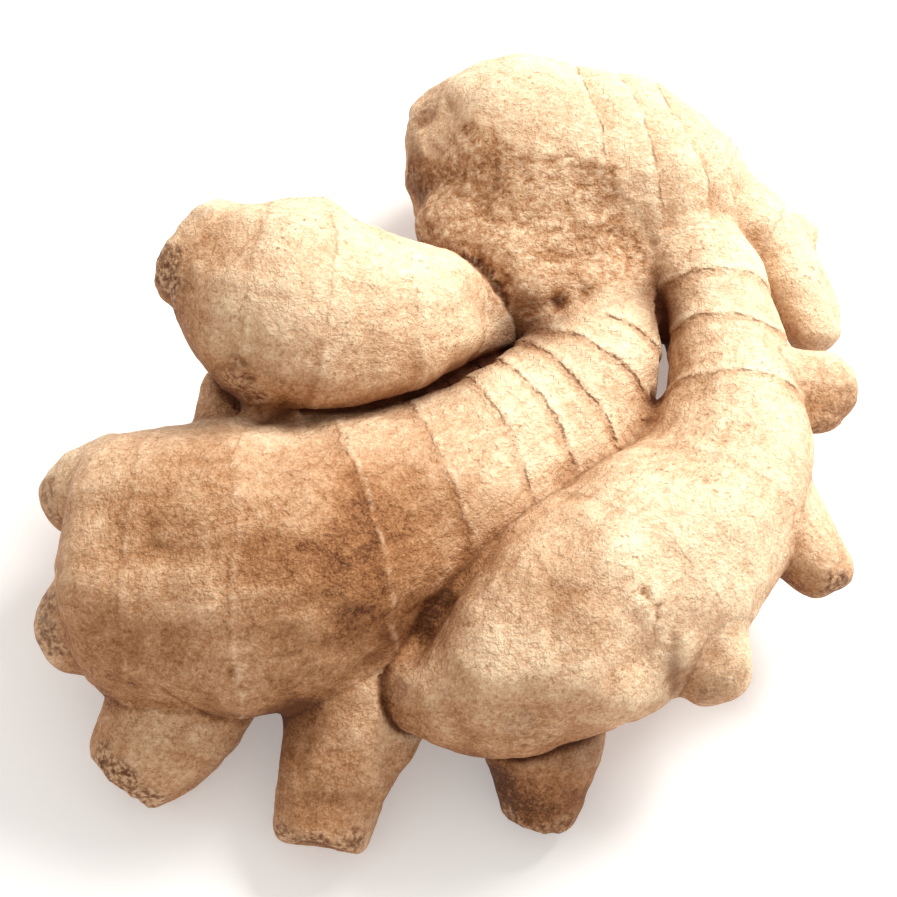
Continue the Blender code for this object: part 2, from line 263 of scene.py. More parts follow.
def tube_faces(rows):
    """Square (i, k) joins sections i and i + 1 at turns k and k + 1."""
    i, k = np.meshgrid(np.arange(rows - 1), np.arange(SIDES), indexing="ij")
    n = (k + 1) % SIDES
    corners = [i * SIDES + k, (i + 1) * SIDES + k, (i + 1) * SIDES + n, i * SIDES + n]
    return np.stack(corners, axis=-1).reshape(-1, 4)


grids = {name: tube_grid(name) for name in NAMES}
print("sections on all tubes:", sum(len(grid) for grid in grids.values()))

# %% [markdown]
# Twenty closed tubes that run into each other are not yet a root. Blender's voxel
# Remesh wraps them in one skin, as if they were dipped, and a few passes of Smooth
# give the forks their soft grown creases. A Boolean union would keep every seam sharp.

# %% One skin over all branches
SKIN_STEP = 0.75
SMOOTH_PASSES = 17


def wrapped_skin():
    """All tubes and their end caps in one mesh, wrapped at the skin step and smoothed."""
    points, faces, offset = [], [], 0
    for grid in grids.values():
        rows = len(grid)
        points.append(grid.reshape(-1, 3))
        faces += (tube_faces(rows) + offset).tolist()
        faces.append([offset + k for k in range(SIDES)])
        faces.append([offset + (rows - 1) * SIDES + k for k in reversed(range(SIDES))])
        offset += rows * SIDES
    mesh = bpy.data.meshes.new("tubes")
    mesh.from_pydata(np.vstack(points) * MM, [], faces)
    tubes = bpy.data.objects.new("tubes", mesh)
    bpy.context.scene.collection.objects.link(tubes)
    wrap = tubes.modifiers.new("wrap", "REMESH")
    wrap.mode = "VOXEL"
    wrap.voxel_size = SKIN_STEP * MM
    soften = tubes.modifiers.new("soften", "SMOOTH")
    soften.factor = 0.5
    soften.iterations = SMOOTH_PASSES
    graph = bpy.context.evaluated_depsgraph_get()
    skin = bpy.data.meshes.new_from_object(tubes.evaluated_get(graph))
    bpy.data.objects.remove(tubes, do_unlink=True)
    return skin


skin_mesh = wrapped_skin()


def mesh_rows(mesh, what):
    """Vertex positions ("co") or directions ("normal") of a mesh as rows of three."""
    flat = np.empty(len(mesh.vertices) * 3)
    mesh.vertices.foreach_get(what, flat)
    return flat.reshape(-1, 3)


points = mesh_rows(skin_mesh, "co") / MM
normals = mesh_rows(skin_mesh, "normal")
print("skin vertices:", len(points), "faces:", len(skin_mesh.polygons))

# %% [markdown]
# Rings and wrinkles follow the branch they are on, so every vertex needs to know its
# branch, how far along it is, and where it sits across. The nearest point of each
# middle line, less its radius, tells who owns the vertex. The gap to the runner-up
# says how clearly: it falls to nothing in the creases between two branches.

# %% Where each vertex is on its branch
PLACE_STEP = 0.8
GRAIN_SHIFT = 37.0


def branch_places(points):
    """Distance to every point of a middle line is the root of |p|2 + |q|2 - 2 p.q, with
    heights divided by the branch's flatness. The lowest distance less radius owns it.
    The grain is (right, upward, length along), shifted so that no two branches share it."""
    count = len(points)
    gap = np.full(count, 1e9)
    second = np.full(count, 1e9)
    owner = np.zeros(count, int)
    rival = np.zeros(count, int)
    across = np.zeros((count, 3))
    for index, name in enumerate(NAMES):
        line = middle_line(name, PLACE_STEP)
        stretch = np.array([1.0, 1.0, 1.0 / BRANCHES[name][1]])
        here, there = points * stretch, line[:, :3] * stretch
        far = (here ** 2).sum(axis=1)[:, None] + (there ** 2).sum(axis=1) - 2 * here @ there.T
        far = np.sqrt(np.maximum(far, 0.0)) - line[:, 3]
        nearest = far.argmin(axis=1)
        mine = far[np.arange(count), nearest]
        forward, right, upward = frame_along(line)
        offset = points - line[nearest, :3]
        ahead = (offset * forward[nearest]).sum(axis=1)
        length = length_along(line)
        better = mine < gap
        rival = np.where(better, owner, np.where(mine < second, index, rival))
        second = np.where(better, gap, np.minimum(second, mine))
        gap = np.where(better, mine, gap)
        owner = np.where(better, index, owner)
        side = np.stack([(offset * right[nearest]).sum(axis=1),
                         (offset * upward[nearest]).sum(axis=1),
                         length[nearest] + ahead + GRAIN_SHIFT * index], axis=1)
        across = np.where(better[:, None], side, across)
    return owner, rival, across, second - gap


owner, rival, grain, lead = branch_places(points)
print("vertices on the middle finger:", int((owner == NAMES.index("middle finger")).sum()))
print("widest lead of an owner, mm:", round(float(lead.max()), 1))

# %% [markdown]
# Growing things are never regular, so the rings waver and the skin is uneven. The
# tool is value noise: random heights on a lattice, blended smoothly in between.
# It is a handful of array lookups, and a fixed seed gives the same root every time.

# %% Value noise
LATTICE_SIZE = 65536
LATTICE = np.random.default_rng(5).uniform(-1.0, 1.0, LATTICE_SIZE)
PRIMES = (73856093, 19349663, 83492791)
SEED_PRIME = 7919
FAR_OFF = 1000.0


def noise(rows, size, seed=0):
    """Random heights at the corners of cubes of the given size, mixed by 3f2 - 2f3, where
    f is the share of the way across the cube. Large primes scatter the corners over the
    lattice list, so that no pattern shows."""
    scaled = rows / size + FAR_OFF
    cell = np.floor(scaled).astype(np.int64)
    part = scaled - cell
    part = part * part * (3.0 - 2.0 * part)
    total = np.zeros(len(rows))
    for corner in range(8):
        step = np.array([corner & 1, corner >> 1 & 1, corner >> 2 & 1])
        spot = cell + step
        key = (spot[:, 0] * PRIMES[0]) ^ (spot[:, 1] * PRIMES[1]) ^ (spot[:, 2] * PRIMES[2])
        key = (key + seed * SEED_PRIME) & (LATTICE_SIZE - 1)
        weight = np.prod(np.where(step, part, 1.0 - part), axis=1)
        total += weight * LATTICE[key]
    return total


def layered(rows, layers):
    """Sum of height x noise over layers of (height, size, seed)."""
    return sum(height * noise(rows, size, seed) for height, size, seed in layers)


print("noise range:", np.round([noise(points, 8.0).min(), noise(points, 8.0).max()], 2))

# %% [markdown]
# Hollow is how far a vertex lies under the average of its surroundings: large in the
# forks and folds, below nought on the crests. A Geometry node's Pointiness says the same,
# but only to a material. The reading taken here, before anything is raised, tells how
# deep the grooves may go. Two more are taken on the finished skin, for its colours: they
# paint shade into the folds and light onto the crests.

# %% Hollows and crests
BROAD_PASSES = 29
FINE_PASSES = 3
edge_ends = np.empty(len(skin_mesh.edges) * 2, np.int64)
skin_mesh.edges.foreach_get("vertices", edge_ends)
edge_ends = edge_ends.reshape(-1, 2)
edge_count = np.bincount(edge_ends.ravel(), minlength=len(points))


def spread(values, passes):
    """Each pass puts half of a vertex's value at the mean of the vertices joined to it."""
    for _ in range(passes):
        total = np.bincount(edge_ends[:, 0], values[edge_ends[:, 1]], len(values))
        total += np.bincount(edge_ends[:, 1], values[edge_ends[:, 0]], len(values))
        values = 0.5 * values + 0.5 * total / edge_count
    return values


def hollow_depth(points, normals, passes):
    """(Average of the surroundings - the vertex) . its direction, in millimetres."""
    smooth = np.stack([spread(points[:, axis], passes) for axis in range(3)], axis=1)
    return ((smooth - points) * normals).sum(axis=1)


fork_hollow = hollow_depth(points, normals, BROAD_PASSES)
print("deepest fork, mm:", round(float(fork_hollow.max()), 2))

# %% [markdown]
# A growth ring is the scar of a scale leaf that once wrapped the branch: a thin raised
# edge, a fine brown line, and a slight swelling of the skin before it. Each ring here
# is a tilted plane across its branch; the signed distance from that plane, made to
# waver with noise, shapes the edge now and draws the brown line later. Every ring has
# its own strength of line, because old rings on the thick parts have nearly healed.

# %% Growth rings
RINGS = [
    ("mother knob", 30.5, 20, 0.8), ("mother knob", 37.5, 23, 0.9),
    ("mother knob", 44.5, 28, 1), ("mother knob", 51.5, 35, 0.9),
    ("middle finger", 9.5, -12, 0.8), ("middle finger", 18.5, -4, 0.9),
    ("middle finger", 25, -9, 1), ("middle finger", 32, -13, 1),
    ("middle finger", 39, -10, 1), ("middle finger", 47, -9, 1),
    ("middle finger", 58.5, -7, 1), ("middle finger", 73, -9, 1.1),
    ("middle finger", 90.5, -7, 1), ("middle finger", 106.5, -5, 1),
    ("right finger", 15, -15, 0.8), ("right finger", 23.5, -15, 0.9),
    ("right finger", 32, -13, 1), ("right finger", 43.5, 0, 1),
    ("right finger", 61.5, 8, 0.8), ("right finger", 79.5, 7, 0.8),
    ("right finger", 95, -2, 0.9), ("left finger", 10, 0, 0.6),
    ("left finger", 22.5, 3, 0.5), ("left finger", 34.5, 6, 0.3),
    ("left finger", 42.5, 19, 0.3), ("front left stub", 16, 10, 0.9),
    ("front stub", 20, 20, 1), ("front stub", 28, 14, 0.7),
    ("under stub", 14, 6, 0.8), ("side finger", 14.5, -6, 0.7),
    ("side finger", 21.5, -12, 0.6), ("lower right bud", 10, 7, 0.8),
    ("right bud", 7, 5, 0.9), ("lobe stub", 11.5, 8, 0.8),
]
LINE_STRENGTH = {
    "middle finger": [1.0, 1.0, 1.0, 1.0, 0.9, 0.7, 0.6, 0.55, 0.3, 0.25],
    "mother knob": [0.8, 0.75, 0.8, 0.4],
    "left finger": [0.45, 0.3, 0.4, 0.2],
    "right finger": [0.7, 0.8, 0.8, 0.8, 0.35, 0.25, 0.2],
}
FAINT = 0.15
print("rings:", len(RINGS), "with lines of their own strength:",
      sum(len(row) for row in LINE_STRENGTH.values()))

# %% [markdown]
# From the list come five numbers a vertex: how far it is past the nearest ring, how
# high that ring stands, how dark its line is, how much the skin swells before it, and
# the step in tone across it, a painted highlight before the ring and painted shade past
# it. They fade in the forks, where one branch enters another.

# %% Ring fields
RING_REACH = 4.5
RING_WAVER = [(1.1, 11.0, 3), (0.5, 4.0, 4), (0.2, 1.7, 5)]
SWELL_LENGTH = 6.0
LINE_STEP = 0.5
NEAR_RADII, NEAR_MARGIN = 1.6, 3.0
CLEAR_MARGIN, CLEAR_SPAN = 0.4, 2.0
TONE_RISE, TONE_BEFORE, TONE_PAST = 0.6, 2.2, 5.0


def ring_strengths():
    """The line strength of every ring: from the list above, else faint."""
    seen = {}
    strengths = []
    for name, *_ in RINGS:
        at = seen.get(name, 0)
        seen[name] = at + 1
        strengths.append(LINE_STRENGTH[name][at] if name in LINE_STRENGTH else FAINT)
    return strengths


def ring_fields():
    """Signed distance past the nearest ring = (vertex - ring centre) . the ring's facing
    direction + a slow waver. With it go the height, line strength, swelling and tone."""
    waver = layered(points, RING_WAVER)
    clear = np.clip((lead + CLEAR_MARGIN) / CLEAR_SPAN, 0.0, 1.0)
    past = np.full(len(points), RING_REACH)
    ridge, line_strength, swell, tone = (np.zeros(len(points)) for _ in range(4))
    for (name, distance, turn, height), strength in zip(RINGS, ring_strengths()):
        line = middle_line(name, LINE_STEP)
        at = int(np.argmin(np.abs(length_along(line) - distance)))
        forward = frame_along(line)[0][at]
        angle = math.radians(turn)
        facing = np.array([forward[0] * math.cos(angle) - forward[1] * math.sin(angle),
                           forward[0] * math.sin(angle) + forward[1] * math.cos(angle),
                           forward[2]])
        offset = points - line[at, :3]
        here = offset @ facing + waver
        near = np.linalg.norm(offset, axis=1) < NEAR_RADII * line[at, 3] + NEAR_MARGIN
        mine = (owner == NAMES.index(name)) & near
        closer = mine & (np.abs(here) < np.abs(past))
        fade = np.clip(RING_REACH - np.abs(here), 0.0, 1.0) * clear
        past = np.where(closer, here, past)
        ridge = np.where(closer, fade * height, ridge)
        line_strength = np.where(closer, fade * strength, line_strength)
        swell += np.where(mine & (here < 0), np.exp(here / SWELL_LENGTH) * clear * height, 0.0)
        # The step in tone: a painted highlight before the ring and painted shade past it.
        step = np.where(here < 0, TONE_RISE * np.exp(here / TONE_BEFORE),
                        -np.exp(-here / TONE_PAST))
        tone += np.where(mine, step * clear * strength, 0.0)
    return past, ridge, line_strength, swell, tone


ring_past, ring_mask, ring_line, ring_swell, ring_tone = ring_fields()
print("vertices near a ring:", int((ring_mask > 0.1).sum()))

# %% [markdown]
# Some places are rougher than the rest: the cut faces where pieces broke off, the tips
# of the buds, and a fibrous brown patch on the front of the mother knob. Each place is
# a soft-edged ball in space, broken up with noise so its border is ragged.

# %% Rough places
CORKY = [
    ((-43, 17.5, 44.5), 4.5, 0.9), ((-43.5, 20.5, 46.5), 3.5, 0.7),
    ((-38.5, 27.5, 48), 2.5, 0.4), ((-32, 1.5, 44), 3, 0.7),
    ((-30, 0, 41), 2.6, 0.7), ((-31, 3.5, 47), 2.2, 0.5),
    ((-63, -8.5, 24.5), 2.6, 0.6), ((-62.5, -11.5, 23), 2.4, 0.6),
    ((-63, -28, 23), 3.2, 0.6), ((-62, -32.5, 22), 3.4, 0.7),
    ((-53, -50.5, 13), 3.8, 0.9), ((-50.5, -53, 12.5), 3.6, 0.9),
    ((-47.5, -54.5, 9.5), 3.4, 0.8), ((-24, -60.5, 9), 2.8, 0.75),
    ((-20, -62, 10.5), 3, 0.8), ((-15, -61.5, 10.5), 2.8, 0.75),
    ((10, -57.5, 7), 2.6, 0.5), ((14, -59.5, 7), 2.8, 0.5),
    ((18, -58, 7.5), 2.4, 0.4), ((40, -43.5, 26), 2.6, 0.4),
    ((43.5, -40.5, 28), 2.4, 0.4), ((61.5, -24, 20.5), 3.8, 0.8),
    ((65.5, 9, 22.5), 2.6, 0.4), ((61, 4.5, 22.5), 2.6, 0.5),
    ((-7, -42.5, 26.5), 2.6, 0.35), ((-6.5, 53, 27), 3.5, 0.4),
    ((-6, 47.5, 24), 3.5, 0.6), ((-3.5, 58.5, 30), 3, 0.5),
    ((5.5, 56.5, 37), 2.6, 0.2), ((-1.5, 63, 29), 3, 0.4),
    ((60.5, 22, 15), 3, 0.25), ((13.5, -50, 27.5), 3.4, 0.45),
    ((10.5, -49.5, 31), 2.6, 0.35),
]
PATCHES = [
    ((1, 41, 30.5), 8), ((8.5, 39.5, 34), 9), ((15, 36.5, 35.5), 9),
    ((21.5, 37, 36), 7.5), ((18, 31, 33.5), 7.5), ((9, 31, 31.5), 8),
    ((24.5, 31, 32), 6.5), ((15, 26, 30.5), 6.5), ((3.5, 46, 33.5), 7),
    ((28.5, 30, 30), 4.5), ((-3, 45, 26), 6.5), ((-1, 39.5, 27), 9),
    ((4, 35.5, 30), 9), ((10, 26, 31.5), 6.5), ((14, 22.5, 31), 4.5),
    ((20, 27, 32), 5.5),
]
RAGGED = [(0.28, 3.0, 8), (0.18, 1.3, 9)]
PATCH_RAGGED = 0.8
BORDER = 0.35


def soft_ball(centre, radius, ragged):
    """One inside the ball, nought outside, over a ragged border a third as wide."""
    gone = np.linalg.norm(points - np.array(centre), axis=1) + ragged * radius
    return np.clip((radius - gone) / (BORDER * radius) + 0.5, 0.0, 1.0)


def rough_masks():
    """The largest of all tip balls, and the largest of all patch balls."""
    ragged = layered(points, RAGGED)
    tips = np.zeros(len(points))
    for centre, radius, strength in CORKY:
        tips = np.maximum(tips, soft_ball(centre, radius, ragged) * strength)
    patches = np.zeros(len(points))
    for centre, radius in PATCHES:
        patches = np.maximum(patches, soft_ball(centre, radius, ragged * PATCH_RAGGED))
    return tips, patches


tip_mask, patch_mask = rough_masks()
print("rough vertices:", int((tip_mask > 0.3).sum()), int((patch_mask > 0.3).sum()))

# %% [markdown]
# Some places are browner and some paler. The brown is mostly painted shade, on the low
# front of the mass, on the stubs and on the under stub that lies in the lobe's shadow,
# and partly the skin's own uneven tone. Each such place is a wide soft ball with a
# strength, and the strengths add up; a strength below nought makes its surroundings
# paler. It could be painted on by hand, but a list of places is easy to read and to
# move. The colours read the sum later.

# %% Painted shade and weathered skin
SHADE_AND_WEATHER = [
    ((-20, -28, 42), 26, 0.50), ((-44, -32, 34), 22, 0.26),
    ((-6, -22, 42), 14, 0.36), ((-42, -8, 36), 14, 0.14),
    ((14, -54, 9), 15, 0.85), ((-18, -55, 12), 15, 0.42),
    ((-47, -46, 12), 14, 0.18), ((60, -21, 22), 9, 0.40),
    ((63, 8, 23), 9, 0.54), ((-35.5, 4, 28), 8, 0.35),
    ((58, 38, 18), 10, 0.12), ((-38, 18, 48), 11, 0.46),
    ((-7, 50, 24), 5.5, 0.30), ((57, 33.5, 20), 9, -0.22),
    ((-14.5, -28, 42.5), 9, 0.12), ((-33, 8, 50), 8, -0.26),
    ((4, -36, 36), 10, -0.15), ((14, -50, 26), 10, -0.12),
    ((-36, -37, 38), 11, -0.18), ((17, -34, 42), 9, 0.20),
    ((3, 47, 32), 7, -0.14), ((41, -37, 29), 7, 0.12),
]
SHADE_AND_WEATHER_RIPPLE = 0.3


def ball(centre, radius):
    """exp(-(distance / radius) squared): one at the centre, fading to nought round it."""
    return np.exp(-((points - np.array(centre)) ** 2).sum(axis=1) / radius ** 2)


def weather_field():
    """Sum of strength x ball over the list, rippled with noise."""
    total = np.zeros(len(points))
    for centre, radius, strength in SHADE_AND_WEATHER:
        total += strength * ball(centre, radius)
    return total * (1.0 + SHADE_AND_WEATHER_RIPPLE * noise(points, 7.0, 40))


# Painted shade, mostly on the low fronts and undersides, with some of the skin's own uneven tone.
weather = weather_field()
print("weathering from", round(float(weather.min()), 2), "to", round(float(weather.max()), 2))

# %% [markdown]
# The deepest forks get painted shade, a nearly black brown, as little light gets there.
# An Ambient Occlusion node could find the forks, but it would darken all of them alike.
# These balls sit in chosen ones, and the largest of them counts, not the sum.

# %% Painted shade in the forks
PAINTED_SHADE_BALLS = [
    ((11, 18.5, 26), 5.5, 1), ((14.5, 17.5, 27.5), 5, 0.9),
    ((8.5, 17, 26), 4, 0.9), ((11.5, 20.5, 30.5), 4, 0.8),
    ((33.5, 25, 26.5), 4, 0.9), ((35, 22, 26), 3.5, 1),
    ((36.5, 24.5, 27.5), 3.2, 0.4), ((-31.5, 0.5, 38.5), 2.8, 0.8),
    ((-28, -1.5, 37.5), 3, 0.9), ((-24.5, -1.5, 37.5), 3, 0.9),
    ((-21, -2, 36.5), 2.8, 0.8), ((-6.5, 51.5, 26.5), 3, 0.5),
    ((-5, 46.5, 24), 3.5, 0.8), ((-3.5, 57.8, 30.3), 1.8, 0.45),
    ((-7.5, 50.5, 24.5), 2.2, 0.6), ((33.8, -41.5, 31), 3, 0.5),
    ((13, 16, 29.5), 3, 0.9), ((15.5, 17.5, 29.5), 2.6, 0.8),
    ((18, 19, 29.5), 2, 0.6), ((34.5, -43.5, 28), 3, 0.5),
    ((4, 35, 24), 6, 0.5), ((-25, -44, 20), 4.5, 0.8),
    ((-9.5, -36, 27.5), 4, 0.7), ((12.5, 18.5, 25.5), 3.5, 0.9),
    ((13.5, 20, 26.5), 3, 0.9), ((11, 15.5, 26.5), 2.6, 0.9),
    ((10, 13, 28.5), 1.8, 0.6), ((20, -47, 14), 5, 0.8),
    ((19.5, -54, 9), 4, 0.5),
]


def gloom_field():
    """Largest of strength x ball over the list."""
    total = np.zeros(len(points))
    for centre, radius, strength in PAINTED_SHADE_BALLS:
        total = np.maximum(total, strength * ball(centre, radius))
    return total


# Painted shade in the forks.
gloom = gloom_field()
print("vertices in dark forks:", int((gloom > 0.3).sum()))

# %% [markdown]
# Small accidents make a root look real: pits where roots came off, cracks where the
# skin dried, lumps and dents. A mark is a place, a radius and a depth, a crack is a few
# places joined up. Both snap to the nearest vertex first, so they always sit on the skin.

# %% Pits, lumps and cracks
PITS = [
    ((18, 22.5, 29.5), 1.2, 1), ((26, 34, 33), 0.9, 0.5),
    ((33, 33, 30), 0.8, 0.4), ((-30, 1.5, 44.5), 1.1, 0.7),
    ((-31, 3.5, 47), 0.9, 0.5), ((-29.5, -0.5, 40.5), 1, 0.6),
    ((-5, 56.5, 31), 1.6, 0.5), ((-6, 51, 24), 2.4, 0.8),
    ((-5, 47.5, 22), 1.8, 0.6), ((29, -32.5, 40.5), 1, 0.5),
    ((31, -34, 39), 0.8, 0.4), ((39, -13.5, 40), 0.8, 0.3),
    ((32.5, -16, 41), 0.7, 0.3), ((34.5, -22.5, 41.5), 0.7, 0.3),
    ((49.5, -10, 37), 0.6, 0.3), ((-43, 18, 41), 1.6, 0.8),
    ((-53, -52, 7), 2.2, 0.8),
]
LUMPS = [
    ((-4.5, 9, 37), 5, 1.1), ((3, 13.5, 35.5), 4.5, 1.1),
    ((12.5, 25, 30), 3.5, 1), ((4.5, 55, 36.5), 4, 0.9),
    ((0, 50, 33), 3.5, 0.6), ((-4, -42, 28), 3.5, 0.8),
    ((27, -26, 43), 6, 0.7), ((13, -43, 34), 5, 0.7),
    ((-26, 6, 50), 5, 0.6), ((-38, 27, 47), 3, 0.6),
    ((41, -36, 29), 3, 0.6), ((-28, 27, 50.5), 5, 0.6),
    ((-19, 27, 52.5), 4, -0.5), ((7, 57.5, 38), 3, 0.5),
    ((2, 60.5, 34), 3, 0.6), ((-3, -46, 26), 4, 0.7),
    ((6, -50, 22), 4, 0.6), ((24, -46, 28), 4.5, 0.5),
    ((36, -24, 40), 4, 0.5), ((-1, -36, 34), 4, -0.5),
    ((11.5, -46, 33), 4, -0.9), ((22.5, -28, 43), 6, 1),
    ((14, -34.5, 41.5), 5, -1), ((30, -33.5, 40.5), 3, 1),
    ((28.5, -41.5, 36.5), 3.4, -1.3), ((4.5, -44, 35.5), 4.5, 1.1),
    ((20.5, -43, 38), 4.2, 0.9), ((10.5, -27, 39), 4.5, 0.8),
    ((34.5, -38.5, 34.5), 3.2, 1),
]
CRACKS = [
    ([(-3, 60.5, 30), (-0.5, 60, 32), (1.5, 55.5, 34.5)], 1.1, 0.25),
    ([(-43.5, -43, 27.5), (-39.5, -44.5, 23.5), (-36, -45, 19.5),
      (-30.5, -44.5, 19.5)], 0.6, 0.5),
    ([(17, 44, 38.5), (20.5, 44, 39)], 0.45, 0.8),
    ([(29, -32.5, 40.5), (31, -34.5, 39), (30.5, -37, 37.5)], 0.5, 0.6),
    ([(33.5, -37, 36), (33.5, -41, 33), (34.5, -43.5, 28)], 1.8, 0.45),
    ([(-32.5, -43, 34.5), (-31.5, -44.5, 32)], 0.4, 0.3),
    ([(-27.5, -42.5, 33), (-26.5, -44, 31)], 0.4, 0.3),
    ([(2.5, -1, 38), (-2.5, 6, 34)], 0.35, 0.3),
    ([(24.5, -16.5, 41), (32, -22.5, 41.5), (39.5, -29.5, 39)], 0.32, 0.25),
    ([(10.5, -25, 39), (8.5, -33, 39), (13.5, -41, 39)], 0.32, 0.2),
]
print("marks:", len(PITS), "pits,", len(LUMPS), "lumps,", len(CRACKS), "cracks")

# %% [markdown]
# The marks become two fields: how much each raises or sinks the skin, and how dark it
# is. A deeper pit or crack is a darker one: partly its own dark colour and partly painted
# shade in the hollow. They could be sculpted, but a sum of smooth bells stays where the
# list puts it. A crack wanders a little off its straight runs, because dry skin never
# splits straight.

# %% Mark fields
CRACK_WANDER = 0.6
DARK_SHARE = 0.4


def snapped(place):
    """The skin vertex nearest to a place."""
    return points[np.argmin(((points - np.array(place)) ** 2).sum(axis=1))]


def darkness(depth):
    """A shallow mark is darkened by a share of 0.4, and a deep one all through."""
    return min(1.0, DARK_SHARE + (1.0 - DARK_SHARE) * depth)


def crack_field(places, width):
    """exp(-(distance / width) squared) from the nearest of the straight runs between places,
    where the nearest point of a run a-b is a + (b - a) times the clipped share along it."""
    joined = np.array([snapped(place) for place in places])
    wander = np.stack([noise(points, 1.5, seed) for seed in (31, 32, 33)], axis=1) * CRACK_WANDER
    best = np.full(len(points), 1e9)
    for a, b in zip(joined[:-1], joined[1:]):
        share = np.clip(((points + wander - a) @ (b - a)) / ((b - a) @ (b - a)), 0.0, 1.0)
        gone = points + wander - a - share[:, None] * (b - a)
        best = np.minimum(best, (gone ** 2).sum(axis=1))
    return np.exp(-best / width ** 2)


def small_marks():
    """Height change of all marks, and how dark they are."""
    height = np.zeros(len(points))
    dark = np.zeros(len(points))
    for place, radius, depth in PITS:
        spot = ball(snapped(place), radius)
        height -= depth * spot
        dark = np.maximum(dark, spot * darkness(depth))
    for place, radius, rise in LUMPS:
        height += rise * ball(snapped(place), radius)
    for places, width, depth in CRACKS:
        line = crack_field(places, width)
        height -= depth * line
        dark = np.maximum(dark, line * darkness(depth))
    return height, dark


mark_height, mark_dark = small_marks()
print("marks, mm:", np.round([mark_height.min(), mark_height.max()], 2))

# %% [markdown]
# Two fingers that lie against each other are not grown together. The wrap has joined
# them with a soft fold, so a groove is cut back between them: deep where both owners
# of the fold are on the list, and where the skin is hollow.

# %% Grooves between separate fingers
APART = [
    ("left finger", "middle finger", 1), ("left finger eye", "middle finger", 0.35),
    ("left finger eye", "top bud", 0.2), ("left finger", "top bud", 0.4),
    ("left finger", "knob belly", 0.3), ("left finger", "knob nub", 0.5),
    ("middle finger", "knob nub", 0.9), ("right finger", "front stub", 0.5),
    ("right finger", "under stub", 0.6), ("side finger", "right finger", 0.6),
    ("side finger knuckle", "right finger", 0.5),
]
SLIT_CENTRE = np.array([34.0, 17.0, 22.0])
SLIT_RADIUS = 11.0
SLIT_LEAST = 0.24
FULL_HOLLOW = 0.25
GROOVE_WIDTH = 1.2
GROOVE_SHADE_WIDTH = 4.5
GAP_SHADE, GAP_SHADE_WIDTH = 1.3, 3.6
SHADE_GLOOM = 0.68


def between(one, other):
    """The vertices that one of two branches owns while the other is the runner-up."""
    a, b = NAMES.index(one), NAMES.index(other)
    return ((owner == a) & (rival == b)) | ((owner == b) & (rival == a))


def near_fold(width):
    """exp(-(lead / width) squared): one on the line where two branches are equally near."""
    return np.exp(-(lead / width) ** 2)


def groove_field():
    """Nearness to the fold x the pair's strength x how hollow the fold is, once narrow
    for the cut and once wide for its shade. The middle and right fingers part in the
    slit, a ball round its middle, and elsewhere only weakly. The gap between the left
    and the middle finger is shaded all along."""
    strength = np.zeros(len(points))
    for one, other, share in APART:
        strength = np.where(between(one, other), share, strength)
    gone = ((points - SLIT_CENTRE) ** 2).sum(axis=1)
    slit = np.maximum(SLIT_LEAST, np.exp(-(gone / SLIT_RADIUS ** 2) ** 2))
    strength = np.where(between("middle finger", "right finger"), slit, strength)
    fold = strength * np.clip(fork_hollow / FULL_HOLLOW, 0.0, 1.0)
    shaded = np.where(between("middle finger", "left finger"),
                      GAP_SHADE * near_fold(GAP_SHADE_WIDTH), 0.0)
    return fold * near_fold(GROOVE_WIDTH), np.maximum(fold * near_fold(GROOVE_SHADE_WIDTH), shaded)


groove, beside_groove = groove_field()
# The wide shade beside the grooves joins the painted shade of the forks.
gloom = np.clip(np.maximum(gloom, SHADE_GLOOM * beside_groove), 0.0, 1.0)
print("grooved vertices:", int((groove > 0.3).sum()))

# %% [markdown]
# Now the heights, all in millimetres along the skin's own direction: the same slow
# lumps as the solid, smaller bumps, wrinkles drawn out along each branch, the ring
# edges, and crumbly relief on the rough places. Adding arrays is sculpting by formula.

# %% Relief
LUMP_WAVES, LUMP_HEIGHT = 9, 0.6
RIDGE_HEIGHT, RIDGE_WIDTH = 0.22, 0.8
DIP_DEPTH, DIP_PLACE, DIP_WIDTH = 0.26, 1.3, 0.7
SWELL_HEIGHT = 0.10
ALONG_BRANCH = np.array([1.0, 1.0, 0.12])
ALONG_KNOB = np.array([[0.7, 0.0, 0.0], [0.1, 1.0, 0.0], [0.0, 0.0, 1.0]])
WRINKLES = [(0.10, 1.5, 12), (0.12, 3.2, 13)]
FIBRES = [(1.0, 1.2, 25), (0.6, 2.6, 26)]
UNEVEN = [(0.42, 6.5, 14), (0.22, 3.0, 15), (0.10, 1.4, 16)]
CORK_HEIGHT, FIBRE_HEIGHT = 0.60, 0.20
PATCH_EDGE = 0.18
GROOVE_DEPTH = 1.5


def slow_lumps():
    """Nine crossing sine waves, 14 to 30 mm long, in random directions."""
    pick = np.random.default_rng(11)
    total = np.zeros(len(points))
    for _ in range(LUMP_WAVES):
        direction = unit(pick.normal(size=3))
        wave = pick.uniform(14.0, 30.0)
        phase = pick.uniform(0.0, 2 * np.pi)
        total += np.sin(points @ direction * 2 * np.pi / wave + phase)
    return total / math.sqrt(LUMP_WAVES) * LUMP_HEIGHT


def ring_edge():
    """A narrow ridge at the ring less a dip just past it, both exp(-(distance / width)
    squared) and as strong as the ring's line, and a slow swell before the ring."""
    ridge = np.exp(-(ring_past / RIDGE_WIDTH) ** 2)
    dip = np.exp(-((ring_past - DIP_PLACE) / DIP_WIDTH) ** 2)
    share = np.clip(ring_line / np.maximum(ring_mask, 1e-3), 0.0, 1.0) ** 1.5
    edge = (RIDGE_HEIGHT * ridge - DIP_DEPTH * dip) * ring_mask * share
    return edge + SWELL_HEIGHT * ring_swell


def rim(mask):
    """4 x mask x (1 - mask): one where the mask is a half, nought where it is 0 or 1."""
    return np.clip(mask * (1.0 - mask) * 4.0, 0.0, 1.0)


